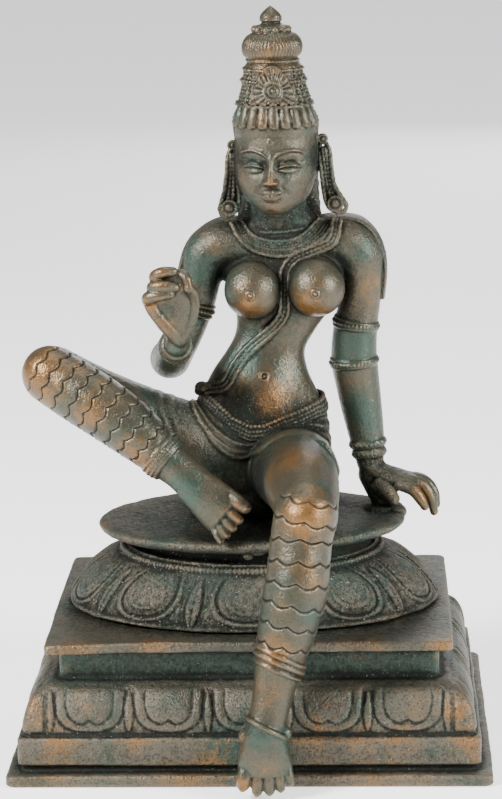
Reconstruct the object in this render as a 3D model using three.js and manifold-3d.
// A bronze goddess seated at ease on an oval lotus seat, above a stepped rectangular plinth.
// Millimetres, +Z up, +X to the viewer's right, the goddess faces -Y.
// The origin is the centre of the plinth's underside.
import * as THREE from 'three';
import Module from 'manifold-3d';

const wasm = await Module();
wasm.setup();

// Driving dimensions of the plinth
const plinthWidth = 195;
const plinthDepth = 150;
const plinthCorner = 3;
const plinthEdge = 0.8;
const footHeight = 5;
const footStep = 4.6;
const courseHeight = 12;
const stepHeight = 2.2;
const stepDepth = 2.4;
const lotusBandHeight = 18.6;
const lotusBandSwell = 13.5;
const recessHeight = 13;
const recessInset = 21;
const slabHeight = 4.8;
const slabInset = 15.5;
const bandPetalPitch = 33;
const bandPetalRelief = 1.4;

// Driving dimensions of the lotus seat
const seatGap = 0.3;
const skirtWidth = 154;
const skirtDepth = 100;
const skirtHeight = 22.5;
const skirtRim = 1.6;
const collarWidth = 108;
const collarDepth = 80;
const beadSize = 3.6;
const seatNeckHeight = 4.3;
const seatNeckInset = 6;
const discWidth = 127.5;
const discDepth = 86;
const discHeight = 7.4;
const seatPetals = 10;
const seatPetalRelief = 2;

// Driving dimensions of the figure. Its pose and proportions are written in equal parts, of
// which 209 make its height, so they follow figureHeight.
const figureHeight = 209;
const unit = figureHeight / 209;
const legClearance = 0.7;
const toeLift = 1.2;
const bandRise = 1.3;
const bandWidth = 3;
const hairLocks = 7;
const fringeCurls = 7;

// Heights and places that follow from the sizes above
const courseBase = footHeight + stepHeight;
const lotusBandBase = courseBase + courseHeight + stepHeight / 2;
const recessBase = lotusBandBase + lotusBandHeight;
const slabBase = recessBase + recessHeight - stepHeight / 2;
const slabTop = slabBase + slabHeight;
const seatBase = slabTop + seatGap;
const beadLevel = seatBase + skirtHeight;
const discBase = beadLevel + beadSize / 2 + seatNeckHeight;
const seatTop = discBase + discHeight;
const bandFootInset = footStep + stepDepth;
const plinthFront = -plinthDepth / 2;

const up = new THREE.Vector3(0, 0, 1);
const { lerp, clamp } = THREE.MathUtils;

// Solids: made from closed lists of triangles, joined, and given back as meshes

function toSolid(points, triangles) {
  const mesh = new wasm.Mesh({
    numProp: 3,
    vertProperties: new Float32Array(points.flatMap((p) => [p.x, p.y, p.z])),
    triVerts: new Uint32Array(triangles.flat()),
  });
  return new wasm.Manifold(mesh);
}

function join(solids) {
  return solids.reduce((whole, piece) => whole.add(piece));
}

function toMesh(name, solid, material) {
  const made = solid.getMesh();
  const stride = made.numProp;
  const position = new Float32Array(made.numVert * 3);
  for (let i = 0; i < made.numVert; i += 1) {
    position.set(made.vertProperties.subarray(i * stride, i * stride + 3), i * 3);
  }
  const geometry = new THREE.BufferGeometry();
  geometry.setAttribute('position', new THREE.BufferAttribute(position, 3));
  geometry.setIndex(new THREE.BufferAttribute(new Uint32Array(made.triVerts), 1));
  const mesh = new THREE.Mesh(geometry, material);
  mesh.name = name;
  return mesh;
}

// Closes a stack of rings, each with the same number of points, into one solid.
function stackRings(rings, first, last) {
  const count = rings[0].length;
  const points = [...rings.flat(), first, last];
  const firstIndex = points.length - 2;
  const lastIndex = points.length - 1;
  const triangles = [];
  for (let j = 0; j < count; j += 1) {
    const next = (j + 1) % count;
    triangles.push([firstIndex, j, next]);
    for (let i = 0; i + 1 < rings.length; i += 1) {
      const low = i * count;
      const high = low + count;
      triangles.push([low + j, high + j, high + next], [low + j, high + next, low + next]);
    }
    const top = (rings.length - 1) * count;
    triangles.push([lastIndex, top + next, top + j]);
  }
  return toSolid(points, triangles);
}

// A limb: oval sections [x, y, z, half width, half depth in front, half depth behind] along
// a smooth line, with ends rounded by a share of their girth. Flutes draw every second edge in.
function limb(stations, options = {}) {
  const { across = [1, 0, 0], sides = 9, ends = [1, 1], capRings = 1, flutes = 0 } = options;
  const place = (s) => new THREE.Vector3(s[0], s[1], s[2]);
  const girth = (s) => new THREE.Vector3(s[3], s[4] ?? s[3], s[5] ?? s[4] ?? s[3]);
  const line = new THREE.CatmullRomCurve3(stations.map(place), false, 'centripetal');
  const girths = new THREE.CatmullRomCurve3(stations.map(girth), false, 'catmullrom', 0.5);
  const hint = new THREE.Vector3(...across).normalize();
  const spans = stations.length - 1;
  const alongBy = (t, push) =>
    line.getPoint(t).addScaledVector(line.getTangent(t).normalize(), push);
  const section = (t, push, share) => {
    const tangent = line.getTangent(t).normalize();
    const side = hint.clone().addScaledVector(tangent, -hint.dot(tangent)).normalize();
    const front = side.clone().cross(tangent);
    const centre = alongBy(t, push);
    const size = girths.getPoint(t).multiplyScalar(share);
    return Array.from({ length: sides }, (_, j) => {
      const angle = (2 * Math.PI * j) / sides;
      const deep = Math.sin(angle) > 0 ? size.y : size.z;
      const draw = 1 - flutes * (j % 2);
      return centre
        .clone()
        .addScaledVector(side, draw * size.x * Math.cos(angle))
        .addScaledVector(front, draw * deep * Math.sin(angle));
    });
  };
  const reach = (t) => Math.min(girths.getPoint(t).x, girths.getPoint(t).y);
  const startReach = reach(0) * ends[0];
  const endReach = reach(1) * ends[1];
  const capAngle = (c) => (Math.PI / 2) * (c / (capRings + 1));
  const rings = [];
  for (let c = capRings; c > 0; c -= 1) {
    rings.push(section(0, -startReach * Math.sin(capAngle(c)), Math.cos(capAngle(c))));
  }
  for (let i = 0; i <= spans; i += 1) rings.push(section(i / spans, 0, 1));
  for (let c = 1; c <= capRings; c += 1) {
    rings.push(section(1, endReach * Math.sin(capAngle(c)), Math.cos(capAngle(c))));
  }
  return stackRings(rings, alongBy(0, -startReach), alongBy(1, endReach));
}

// Adds ornament bands to a limb's sections: each stands out by bandRise at a share of a span,
// counted from the first section.
function withBands(stations, places) {
  const between = (position) => {
    const i = Math.min(Math.floor(position), stations.length - 2);
    return stations[i].map((value, k) => lerp(value, stations[i + 1][k], position - i));
  };
  const raised = places.flatMap((position) => {
    const i = Math.min(Math.floor(position), stations.length - 2);
    const [a, b] = [stations[i], stations[i + 1]];
    const step = bandWidth / 2 / Math.hypot(b[0] - a[0], b[1] - a[1], b[2] - a[2]);
    return [[-step, 0], [0, bandRise], [step, 0]].map(([shift, out]) => {
      const row = between(position + shift);
      return [position + shift, row.map((value, k) => (k < 3 ? value : value + out))];
    });
  });
  const whole = stations.map((row, i) => [i, row]);
  return [...whole, ...raised].sort((a, b) => a[0] - b[0]).map(([, row]) => row);
}

// A hanging petal laid on a wall: place(u, v, lift) gives the wall's point, with u across
// the petal from -1 to 1 and v down it from 0 to 1. Its foot is a wide round arc.
function petal(place, lift) {
  const sink = -0.8 * lift;
  const rows = [[0, 0.92], [0.6, 1], [1, 0.5]];
  const columns = [-1, -0.4, 0.4, 1];
  const outer = [];
  const inner = [];
  rows.forEach(([v, width], r) => {
    columns.forEach((u, c) => {
      const edge = c === 0 || c === columns.length - 1 || r === rows.length - 1;
      outer.push(place(u * width, v, lift * (edge ? 0.15 : 1)));
      inner.push(place(u * width, v, sink));
    });
  });
  const across = columns.length;
  const offset = outer.length;
  const triangles = [];
  for (let r = 0; r + 1 < rows.length; r += 1) {
    for (let c = 0; c + 1 < across; c += 1) {
      const [a, b] = [r * across + c, r * across + c + 1];
      const [d, e] = [a + across, b + across];
      triangles.push([a, d, e], [a, e, b]);
      triangles.push([offset + a, offset + e, offset + d], [offset + a, offset + b, offset + e]);
    }
  }
  const lastRow = (rows.length - 1) * across;
  const rim = [
    ...columns.map((_, c) => c),
    ...rows.slice(1, -1).map((_, r) => (r + 2) * across - 1),
    ...columns.map((_, c) => lastRow + across - 1 - c),
    ...rows.slice(1, -1).map((_, r) => lastRow - (r + 1) * across),
  ];
  rim.forEach((a, i) => {
    const b = rim[(i + 1) % rim.length];
    triangles.push([a, b, offset + b], [a, offset + b, offset + a]);
  });
  return toSolid([...outer, ...inner], triangles);
}

// The plinth: a foot slab, a plain course, a swelling lotus band, a recess and a top slab

function plinthRing(z, inset) {
  const halfX = plinthWidth / 2 - inset - plinthCorner;
  const halfY = plinthDepth / 2 - inset - plinthCorner;
  const corners = [[1, 1], [1, -1], [-1, -1], [-1, 1]];
  return corners.flatMap(([sx, sy], quarter) =>
    [1, 0.5, 0].map((share) => {
      const angle = (share - quarter) * (Math.PI / 2);
      return new THREE.Vector3(
        sx * halfX + plinthCorner * Math.cos(angle),
        sy * halfY + plinthCorner * Math.sin(angle),
        z);
    }));
}

// Inset of the lotus band from the foot slab's face at a share of the band's height.
function bandInset(share) {
  return bandFootInset + lotusBandSwell * (1 - Math.sqrt(Math.max(0, 1 - share * share)));
}

function plinthBody() {
  const rows = [
    [0, plinthEdge],
    [plinthEdge, 0],
    [footHeight - plinthEdge, 0],
    [footHeight, plinthEdge],
    [footHeight, footStep + plinthEdge],
    [courseBase, footStep],
    [courseBase + courseHeight - plinthEdge, footStep],
    [courseBase + courseHeight, footStep + plinthEdge],
    [courseBase + courseHeight, bandFootInset],
    ...[0, 0.45, 0.75, 0.92, 1].map((share) =>
      [lotusBandBase + share * lotusBandHeight, bandInset(share)]),
    [recessBase, recessInset],
    [slabBase, recessInset],
    [slabBase, slabInset + plinthEdge],
    [slabBase + plinthEdge, slabInset],
    [slabTop - plinthEdge, slabInset],
    [slabTop, slabInset + plinthEdge],
  ];
  const rings = rows.map(([z, inset]) => plinthRing(z, inset));
  return stackRings(rings, new THREE.Vector3(0, 0, 0), new THREE.Vector3(0, 0, slabTop));
}

// One petal of the lotus band, centred at `along` on the side that `turn` quarter turns
// reach from the front.
function bandPetal(along, turn, halfWidth) {
  const reach = turn % 2 === 0 ? plinthDepth / 2 : plinthWidth / 2;
  const place = (u, v, lift) => {
    const share = lerp(0.93, 0.08, v);
    const slope = Math.asin(share);
    const out = reach - bandInset(share) + lift * Math.cos(slope);
    const z = lotusBandBase + share * lotusBandHeight + lift * Math.sin(slope);
    return new THREE.Vector3(along + u * halfWidth, -out, z)
      .applyAxisAngle(up, turn * (Math.PI / 2));
  };
  return petal(place, bandPetalRelief);
}

function bandPetals() {
  const solids = [];
  for (let turn = 0; turn < 4; turn += 1) {
    const side = turn % 2 === 0 ? plinthWidth : plinthDepth;
    const room = side - 2 * (footStep + lotusBandSwell);
    const count = Math.max(1, Math.round(room / bandPetalPitch));
    for (let i = 0; i < count; i += 1) {
      const along = (i - (count - 1) / 2) * (room / count);
      solids.push(bandPetal(along, turn, (room / count) * 0.43));
    }
  }
  return solids;
}

// The lotus seat: a skirt of petals, a string of beads, a narrow neck and an oval cushion

// An oval ring with four columns to a petal. The lift of each column, at the groove between
// two petals, beside it and on the petal's crown, moves the ring out and up.
function ovalRing(z, halfX, halfY, lifts = [0, 0, 0]) {
  const columns = seatPetals * 4;
  return Array.from({ length: columns }, (_, j) => {
    const angle = -(2 * Math.PI * (j - 2)) / columns - Math.PI / 2;
    const lift = lifts[[0, 1, 2, 1][j % 4]];
    return new THREE.Vector3(
      (halfX + lift) * Math.cos(angle),
      (halfY + lift) * Math.sin(angle),
      z + lift * 0.6);
  });
}

// The lotus skirt at a share of its height: it swells out to its lower rim.
function skirtRing(share, lifts) {
  const swell = (1 - share ** 1.6) ** 0.75;
  return ovalRing(
    seatBase + share * skirtHeight,
    lerp(collarWidth, skirtWidth, swell) / 2,
    lerp(collarDepth, skirtDepth, swell) / 2,
    lifts.map((lift) => lift * seatPetalRelief));
}

function seatBody() {
  const collarRing = (rise, out) =>
    ovalRing(beadLevel + rise, collarWidth / 2 + out, collarDepth / 2 + out);
  const beadRing = collarRing(0, 0).map((point, j) => {
    const out = 1 + (beadSize * (j % 2 === 0 ? 1 : 0.6)) / collarWidth;
    return new THREE.Vector3(point.x * out, point.y * out, point.z);
  });
  const discRing = (share, inset) =>
    ovalRing(discBase + share * discHeight, discWidth / 2 - inset, discDepth / 2 - inset);
  const rings = [
    ovalRing(seatBase, skirtWidth / 2 - skirtRim, skirtDepth / 2 - skirtRim),
    skirtRing(0.1, [-0.6, 0.2, 0.5]),
    skirtRing(0.32, [-0.5, 0.9, 1]),
    skirtRing(0.62, [-0.5, 0.8, 1]),
    skirtRing(0.9, [-0.1, 0.1, 0.2]),
    collarRing(-beadSize / 2, 0),
    beadRing,
    collarRing(beadSize / 2, -seatNeckInset),
    ovalRing(discBase, collarWidth / 2 - seatNeckInset, collarDepth / 2 - seatNeckInset),
    discRing(0.4, discHeight * 0.22),
    discRing(0.72, 0),
    discRing(1, discHeight * 0.54),
  ];
  const underside = new THREE.Vector3(0, 0, seatBase);
  return stackRings(rings, underside, new THREE.Vector3(0, 0, seatTop));
}

// The figure. Sections are [x, y, height above the seat, half width, half depth in front,
// half depth behind], in its own parts.

function posed(stations) {
  return stations.map(([x, y, z, ...sizes]) =>
    [x * unit, y * unit, seatTop + z * unit, ...sizes.map((s) => s * unit)]);
}

const torsoSections = [
  [2, 10, 0, 26, 16, 17],
  [2.5, 10, 12, 30, 17.5, 19],
  [3, 11, 24, 30, 17, 18],
  [4, 11, 36, 28, 16, 15.5],
  [4.6, 11, 47, 25.3, 15, 12.5],
  [5.4, 11.5, 55, 21.6, 13.8, 11],
  [6.8, 12, 63, 17.3, 11.6, 10],
  [8.6, 12.3, 71, 14.9, 10, 9.6],
  [11, 12.8, 80, 17.2, 10, 10.2],
  [13, 13.2, 89, 21.5, 10.5, 11],
  [14.2, 13.8, 99, 26, 10.6, 11.5],
  [14.4, 14, 107, 28.5, 9.8, 11],
  [14, 14, 113.5, 27, 8.4, 9.6],
  [13.7, 13.8, 119, 17.5, 8, 8.8],
  [13.3, 12.6, 124.5, 12.4, 8.8, 9],
  [12.8, 11.4, 131, 11.2, 10, 10],
];
const restingArmSections = [
  [49.6, 14, 18, 5.8], [48.5, 15, 27, 7.2], [46.4, 15.6, 40, 8.5], [44.4, 16, 53, 9.3],
  [43.2, 16, 62, 9.6], [44, 16, 76, 9.2], [46, 16, 87, 8.5], [46.4, 15.5, 98, 8.9],
  [45.4, 15, 107, 9.8], [39, 14.4, 112.4, 9.6], [32, 14, 112, 8.6],
];
const breasts = [[2, 0.6, 95.6, 11.8], [28.6, 0.6, 96, 11.8]];

// How far forward a body made of sections comes at (x, z).
function frontOf(sections, x, z) {
  let i = 0;
  while (i + 2 < sections.length && sections[i + 1][2] < z) i += 1;
  const [low, high] = [sections[i], sections[i + 1]];
  const share = clamp((z - low[2]) / (high[2] - low[2]), 0, 1);
  const at = (k) => lerp(low[k] ?? low[3], high[k] ?? high[3], share);
  const u = clamp((x - at(0)) / at(3), -1, 1);
  return at(1) - at(4) * Math.sqrt(1 - u * u);
}

function chestFront(x, z) {
  const overBreast = breasts.map(([bx, by, bz, r]) => {
    const inside = r * r - (x - bx) ** 2 - (z - bz) ** 2;
    return inside > 0 ? by - Math.sqrt(inside) : Infinity;
  });
  return Math.min(frontOf(torsoSections, x, z), frontOf(restingArmSections, x, z), ...overBreast);
}

function torso() {
  const body = limb(posed(torsoSections), { sides: 14, ends: [0.1, 0.3], capRings: 0 });
  const rounded = breasts.map(([x, y, z, r]) =>
    limb(posed([[x, y + 6, z + 1, r * 0.95], [x, y, z, r]]),
      { sides: 12, ends: [0.2, 0.94], capRings: 2 }));
  return [body, ...rounded];
}

function head() {
  const skull = limb(posed([
    [11.2, 9, 127.6, 5.6, 13, 3],
    [11.5, 9, 130.4, 11, 16.4, 7],
    [11.9, 9, 136, 14.8, 17.2, 13],
    [12.3, 9, 143.4, 17.1, 17.4, 17],
    [12.5, 9, 151, 17.8, 17.4, 19],
    [12.6, 9, 161, 17.2, 16, 19],
  ]), { sides: 14, ends: [0.1, 0.2], capRings: 0 });
  const face = [
    [[11.4, -6.6, 151.5, 1.3, 1.2], [11.1, -8, 146.5, 1.8, 1.9], [10.9, -9.2, 142.4, 2.7, 2.2]],
    [[6, -5.6, 136.6, 1, 0.9], [10.8, -8, 135.6, 1.6, 1.6], [15.6, -6.2, 136.6, 1, 0.9]],
    ...[-1, 1].map((s) => [
      [11.7 + s * 3.2, -6.3, 148.1, 0.7, 0.8],
      [11.9 + s * 6.4, -6, 148.4, 1.5, 1.5],
      [12 + s * 9.8, -4.1, 148.2, 0.7, 0.8],
    ]),
    ...[-1, 1].map((s) => [
      [11.6 + s * 2.2, -7, 151.2, 0.7, 0.7],
      [11.8 + s * 6.4, -6.6, 153.6, 0.8, 0.8],
      [12 + s * 11.4, -3.4, 151.8, 0.6, 0.6],
    ]),
  ];
  const across = [[1, 0, 0], ...Array(5).fill([0, 0, 1])];
  return [skull, ...face.map((rows, i) =>
    limb(posed(rows), { across: across[i], sides: 5, ends: [0.6, 0.6], capRings: 0 }))];
}

// The tall crown, turned about an axis that leans with the head: [height, radius].
const crownRows = [
  [155, 17.9], [160, 18.1], [163.5, 17.2], [170, 15.8], [177.5, 13.2], [179.5, 13.4],
  [181.8, 11.4], [184.6, 11.6], [186.6, 10.4], [188.2, 10.4], [190, 11.7], [192.4, 12.3],
  [195, 11.7], [197.6, 9.4], [199, 7.3], [200.6, 7.1], [202.3, 4.4], [204.6, 4.4],
  [207.4, 2.2], [209, 0.3],
];

function crown() {
  const sides = 14;
  const foot = [12.7, 10];
  const tip = [11, 10.6];
  const [low, high] = [crownRows[0][0], crownRows.at(-1)[0]];
  const rings = crownRows.map(([z, r]) => {
    const share = (z - low) / (high - low);
    return Array.from({ length: sides }, (_, j) => {
      const angle = (-2 * Math.PI * j) / sides;
      return new THREE.Vector3(
        (lerp(foot[0], tip[0], share) + r * Math.cos(angle)) * unit,
        (lerp(foot[1], tip[1], share) + r * Math.sin(angle)) * unit,
        seatTop + z * unit);
    });
  });
  const bottom = new THREE.Vector3(foot[0] * unit, foot[1] * unit, seatTop + low * unit);
  const top = new THREE.Vector3(tip[0] * unit, tip[1] * unit, seatTop + high * unit);
  const body = stackRings(rings, bottom, top);
  const medallion = limb(posed([
    [11.6, -2.2, 168, 8.6, 2.2], [11.5, -1.2, 175, 7.6, 2.2], [11.4, 0.2, 181, 4, 1.8],
  ]), { sides: 8, ends: [0.5, 1] });
  const curls = Array.from({ length: fringeCurls }, (_, i) => {
    const angle = -Math.PI / 2 + (i - (fringeCurls - 1) / 2) * (2.4 / fringeCurls);
    const [c, s] = [Math.cos(angle), Math.sin(angle)];
    return limb(posed([
      [12.6 + 16.2 * c, 10 + 16.2 * s, 168.6, 2.3, 1.2],
      [12.6 + 17.8 * c, 10 + 17.8 * s, 161, 2.7, 1.5],
    ]), { across: [-s, c, 0], sides: 5, ends: [0.2, 0.8], capRings: 0 });
  });
  return [body, medallion, ...curls];
}

// Long pendants hang from the ears to the shoulders.
function earPendants() {
  const left = [
    [-5.2, 9, 157, 2, 2.6], [-6, 8.4, 149, 2.8, 3], [-6.6, 8, 138, 2.9, 3.2],
    [-7.8, 7.6, 128, 4.4, 3.8],
  ];
  const right = [
    [31.3, 9, 157.5, 2, 2.6], [32, 8.4, 150, 2.8, 3], [32.8, 8, 139, 3, 3.2],
    [36, 7.6, 129.5, 4.4, 3.8],
  ];
  return [left, right].map((rows) => limb(posed(rows), { sides: 6 }));
}

// Locks of hair hang down the back from under the crown, as flutes in one mass.
function backHair() {
  return limb(posed([
    [12.6, 17, 165, 11, 7], [12.7, 20, 154, 15, 9], [12.8, 21, 139, 15, 8], [13, 22, 124, 17, 6],
    [13.4, 22.6, 106, 19.4, 4],
  ]), { sides: hairLocks * 2, ends: [0.1, 1], capRings: 0, flutes: 0.14 });
}

// A band of cloth lies over each shoulder and ends in a square cut beside the upper arm.
function shoulderCloth() {
  const right = [
    [26, 19, 120, 6, 2], [36, 19, 121, 7, 2], [46, 19, 119.6, 7, 2], [52, 19, 114, 7, 2],
    [55, 19.4, 106.6, 6.6, 2], [55.2, 20, 98, 6, 1.9], [54, 20.6, 88, 5.4, 1.8],
  ];
  const left = [
    [0, 19, 119.6, 6, 2], [-10, 19, 120, 7, 2], [-19, 19, 116, 7, 2], [-25, 19, 109.4, 7, 2],
    [-27.4, 18.6, 101, 6.4, 1.9], [-29.2, 18, 92, 5.6, 1.8],
  ];
  return [right, left].map((rows) =>
    limb(posed(rows), { across: [0, 1, 0], sides: 4, ends: [0.3, 0.3], capRings: 0 }));
}

function arms() {
  const raisedUpper = [
    [1, 14.2, 109.6, 8.7], [-9, 14, 111.6, 9.6], [-16.6, 14, 108, 9.4], [-19.2, 13.6, 99, 8.4],
    [-21.8, 13, 88.5, 8.1], [-26, 12.4, 77, 7.8], [-31, 11, 67.5, 8],
  ];
  const raisedFore = [
    [-31.6, 11, 66, 8], [-32.3, 0, 66.5, 8.3], [-30.6, -13, 70.5, 7.6], [-28.2, -25, 76, 6.2],
    [-27, -32.5, 79.6, 5.2],
  ];
  return [
    limb(withBands(posed(raisedUpper), [4.9, 5.7])),
    limb(withBands(posed(raisedFore), [2.8, 3.4])),
    limb(withBands(posed(restingArmSections), [0.45, 0.95, 4, 5.1])),
  ];
}

// The raised hand: the palm faces front and the fingers bend round to meet the thumb.
function raisedHand() {
  const palm = limb(posed([
    [-26.8, -33, 80, 5, 4.4], [-26.6, -35.4, 85, 6, 3.4], [-27.6, -36.6, 92, 8, 3],
    [-28.6, -37, 98, 9, 2.8],
  ]), { sides: 8, ends: [0.6, 0.6], capRings: 0 });
  const digits = [
    [[-36, -37, 96.5, 2.3], [-37.4, -42, 98.5, 2.1], [-33.6, -46, 99, 1.9], [-29, -46, 98, 1.7]],
    [[-34.6, -37, 100, 2.3], [-36, -42, 103.5, 2.1], [-31, -45.6, 104, 1.9], [-25.6, -45.6, 101, 1.7]],
    [[-33, -37, 102, 2.3], [-34, -40.5, 107.5, 2], [-29.5, -43, 110, 1.8], [-25.6, -44, 109, 1.5]],
    [[-26, -36.5, 97.5, 2.5], [-25, -38, 104, 2.1], [-22.4, -40.6, 105.6, 1.9], [-21, -43.4, 103, 1.7]],
    [[-23.4, -36.4, 88, 3.2], [-20, -38.6, 94.6, 2.6], [-20.6, -42, 99, 2.1], [-23.4, -44.6, 100, 1.8]],
  ];
  return [palm, ...digits.map((rows) =>
    limb(posed(rows), { sides: 5, ends: [0.6, 1], capRings: 0 }))];
}

// The resting hand: its heel on the seat's rim and its fingers over the edge.
function restingHand() {
  const across = [0, 1, 0];
  const palm = limb(posed([
    [49.6, 14, 18, 5.8, 5.6], [52, 12.4, 13.4, 6.2, 5.4], [57.5, 10.8, 11.6, 7.6, 4],
    [64.5, 9.4, 10.8, 8.4, 3],
  ]), { across, sides: 8, ends: [0.6, 0.7], capRings: 0 });
  const heel = limb(posed([[51, 12, 12, 5.4], [54, 7.5, 4, 5.6]]), { sides: 8 });
  const thumb = [
    [57, 4.8, 9, 3], [63, 1.8, 9.4, 2.5], [68.6, -0.6, 4.6, 2.2], [71.4, -1.4, 0.6, 1.9],
  ];
  const fingers = [[3.4, 0, 0], [7.6, 1.8, 0], [12, 1.2, 0.6], [16, -1.6, 1.6]].map(
    ([y, reach, drop]) => [
      [64, y + 0.4, 10.6, 2.5], [70.4 + reach, y - 0.6, 9.8 - drop, 2.2],
      [75 + reach, y - 1.6, 5.4 - drop, 2], [76.6 + reach, y - 2.2, -0.6 - drop * 0.4, 1.7],
    ]);
  const digits = [thumb, ...fingers].map((rows) =>
    limb(posed(rows), { across, sides: 5, ends: [0.6, 1], capRings: 0 }));
  return [palm, heel, ...digits];
}

const kneeFront = [24.4, -65.4, 18.4];

function legs() {
  const raisedThigh = [
    [-2, 9, 18, 18], [-15, 6, 23.5, 17.6], [-30, 2.5, 32, 16.4], [-46, -1, 41, 14.4],
    [-60, -5, 49.6, 13], [-71, -9, 57.4, 12], [-79, -14, 63.6, 11.6],
  ];
  const raisedShin = [
    [-79.6, -17, 64, 11.9], [-68, -22, 57.6, 12.3], [-55, -26.6, 50, 12], [-43, -30.4, 41.4, 10.8],
    [-33, -33, 33.2, 9], [-27, -35, 28.6, 7.9], [-20.4, -37, 22.6, 7.8],
  ];
  const hangingThigh = [
    [15, 10, 18, 18], [17.4, -6, 20, 17.4], [19.6, -22, 22, 16.6], [21.6, -38, 23.2, 15.4],
    [23.2, -51, 22.6, 14.2], [24.3, -62, 20.4, 12.8],
  ];
  const across = [0, 0, 1];
  return [
    limb(posed(raisedThigh), { across }),
    limb(withBands(posed(raisedShin), [4.2]), { across }),
    limb(posed(hangingThigh)),
  ];
}

// The hanging leg runs down to an ankle that stands clear of the plinth's front.
const footThick = 8.2 * unit;
const ankle = [7.4 * unit, plinthFront - legClearance - footThick, 25 * unit + toeLift];

function shinPoint(share, sideways = 0, forward = 0) {
  const knee = [kneeFront[0] * unit, kneeFront[1] * unit, seatTop + kneeFront[2] * unit];
  return [
    lerp(knee[0], ankle[0], share) + sideways * unit,
    lerp(knee[1], ankle[1], share) - forward * unit,
    lerp(knee[2], ankle[2], share),
  ];
}

function hangingShin() {
  const rows = [
    [0, 12.7, 0, 0], [0.1, 12.3, -0.2, 0], [0.2, 12.3, 0.6, 1], [0.35, 12.6, 1.4, 1.6],
    [0.52, 11.6, 0.8, 1.2], [0.66, 10.2, 0.2, 0.6], [0.8, 8.9, 0.2, 0], [0.92, 8.3, 0, 0],
    [1, 8.4, 0, 0],
  ];
  const stations = rows.map(([share, girth, sideways, forward]) =>
    [...shinPoint(share, sideways, forward), girth * unit]);
  return limb(withBands(stations, [4.8, 5.25, 7.7]));
}

// The hanging foot points down in front of the plinth, drawn from the ankle's centre.
function hangingFoot() {
  const place = ([x, y, z, ...sizes]) => [
    ankle[0] + x * unit, ankle[1] + y * unit, ankle[2] + z * unit,
    ...sizes.map((s) => s * unit),
  ];
  const foot = limb([
    [0, 0, 0, 8.6, 7.6], [-0.2, -0.6, -7, 9.8, 7.2], [-0.2, -1.6, -13, 10.8, 6.2],
    [-0.2, -2.4, -17.4, 10.8, 4.6],
  ].map(place), { ends: [0.6, 0.4], capRings: 0 });
  const toes = [[-8.6, 3, -21], [-3.2, 2.4, -22.8], [1.4, 2.3, -23.2], [5.8, 2.2, -21.4], [9.4, 2, -18.6]];
  return [foot, ...toes.map(([x, thick, low]) => limb([
    [x * 0.92, -2.8, -14.5, thick], [x, -4, -18.4, thick], [x, -4.6, low - 0.4, thick * 0.9],
  ].map(place), { sides: 4, ends: [0.6, 0.6], capRings: 0 }))];
}

// The raised leg's foot stands on its outer edge on the seat, its toes to the front.
function raisedFoot() {
  const across = [0.42, 0.1, 0.9];
  const foot = limb(posed([
    [-22, -36.6, 23, 7.8, 7.4], [-16.6, -39.4, 19, 9, 7], [-11.6, -42, 14.6, 10, 6],
    [-8, -44, 12, 10, 4.6],
  ]), { across, ends: [0.6, 0.5], capRings: 0 });
  const heel = limb(posed([[-20, -34, 16, 6.4], [-17.6, -31, 4, 6.6, 5.6]]), { sides: 8 });
  const toes = [[8.4, 2.9, 7.6], [3.6, 2.3, 7.4], [-0.4, 2.2, 6.4], [-4.2, 2.1, 5.2], [-7.4, 2, 3.6]];
  return [foot, heel, ...toes.map(([offset, thick, reach]) => {
    const step = (share, thin) => [
      -8.4 + offset * across[0] + 0.62 * reach * share,
      -43.6 + offset * across[1] - 0.5 * reach * share,
      12 + offset * across[2] - 0.6 * reach * share,
      thick * thin,
    ];
    return limb(posed([step(0, 1), step(0.6, 1), step(1, 0.85)]),
      { across, sides: 4, ends: [0.6, 0.7], capRings: 0 });
  })];
}

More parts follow.
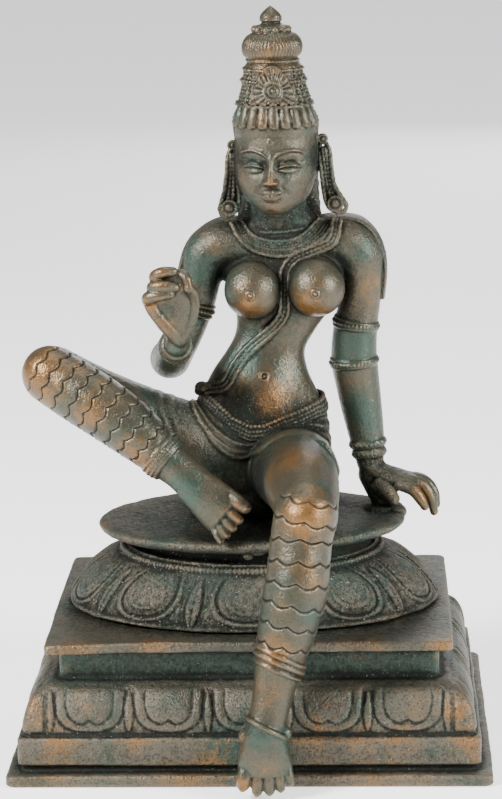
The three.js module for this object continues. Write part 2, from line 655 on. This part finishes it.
// Cords and hems that lie on the body: lines of [x, height] whose depth is the body's front.
const necklace = [[-2.4, 122], [1.6, 117], [7, 114.6], [14, 114], [21, 115.4], [29.4, 122.4]];
const chain = [
  [-6.4, 121], [-3, 115], [3, 110.6], [10, 108.8], [17, 108.7], [24, 111], [31, 115.4],
  [36.4, 121.6],
];
const sash = [
  [37, 122], [35, 114], [27, 110.4], [19.6, 107.6], [15.6, 102], [15.4, 93], [14.6, 84],
  [9, 78], [3.4, 72.6], [-1.6, 67.6], [-6, 61.4], [-10.6, 54.8], [-18.6, 52.4],
];
const belt = [
  [-20, 50.6], [-14, 46.6], [-7, 40.6], [0, 37.4], [6, 37.6], [14, 41], [21, 45], [28, 49.4],
];
const hem = [
  [-24.6, 48.6, -4], [-20, 40, -7], [-13.6, 31, -10], [-5, 25.4, -9], [3, 27.4, -9],
  [9, 32.6, -11], [16, 36.6, -13], [24, 36.4, -13], [31, 31, -9],
];

function cords() {
  const cord = (line, radius, front) => {
    const rows = line.map(([x, z, y]) => [x, (y ?? front(x, z)) - radius * 0.25, z, radius]);
    return limb(posed(rows), { across: [0, -1, 0.01], sides: 4, capRings: 0 });
  };
  const torsoFront = (x, z) => frontOf(torsoSections, x, z);
  return [
    cord(necklace, 1.7, torsoFront),
    cord(chain, 1.4, chestFront),
    cord(sash, 2.1, chestFront),
    cord(belt, 2.2, torsoFront),
    cord(hem, 1.8),
  ];
}

function figure() {
  return [
    ...torso(), ...head(), ...crown(), backHair(), ...earPendants(), ...shoulderCloth(),
    ...arms(), ...raisedHand(), ...restingHand(), ...legs(), hangingShin(), ...raisedFoot(),
    ...hangingFoot(), ...cords(),
  ];
}

// Finishes and the model

const bronze = new THREE.MeshStandardMaterial({ color: 0x5d5a4c, roughness: 0.5, metalness: 0.8 });
const darkBronze = new THREE.MeshStandardMaterial({
  color: 0x4b4c43,
  roughness: 0.6,
  metalness: 0.75,
});

const model = new THREE.Group();
model.add(toMesh('goddess_on_lotus_seat', join([seatBody(), ...figure()]), bronze));
model.add(toMesh('plinth', join([plinthBody(), ...bandPetals()]), darkBronze));

export default model;
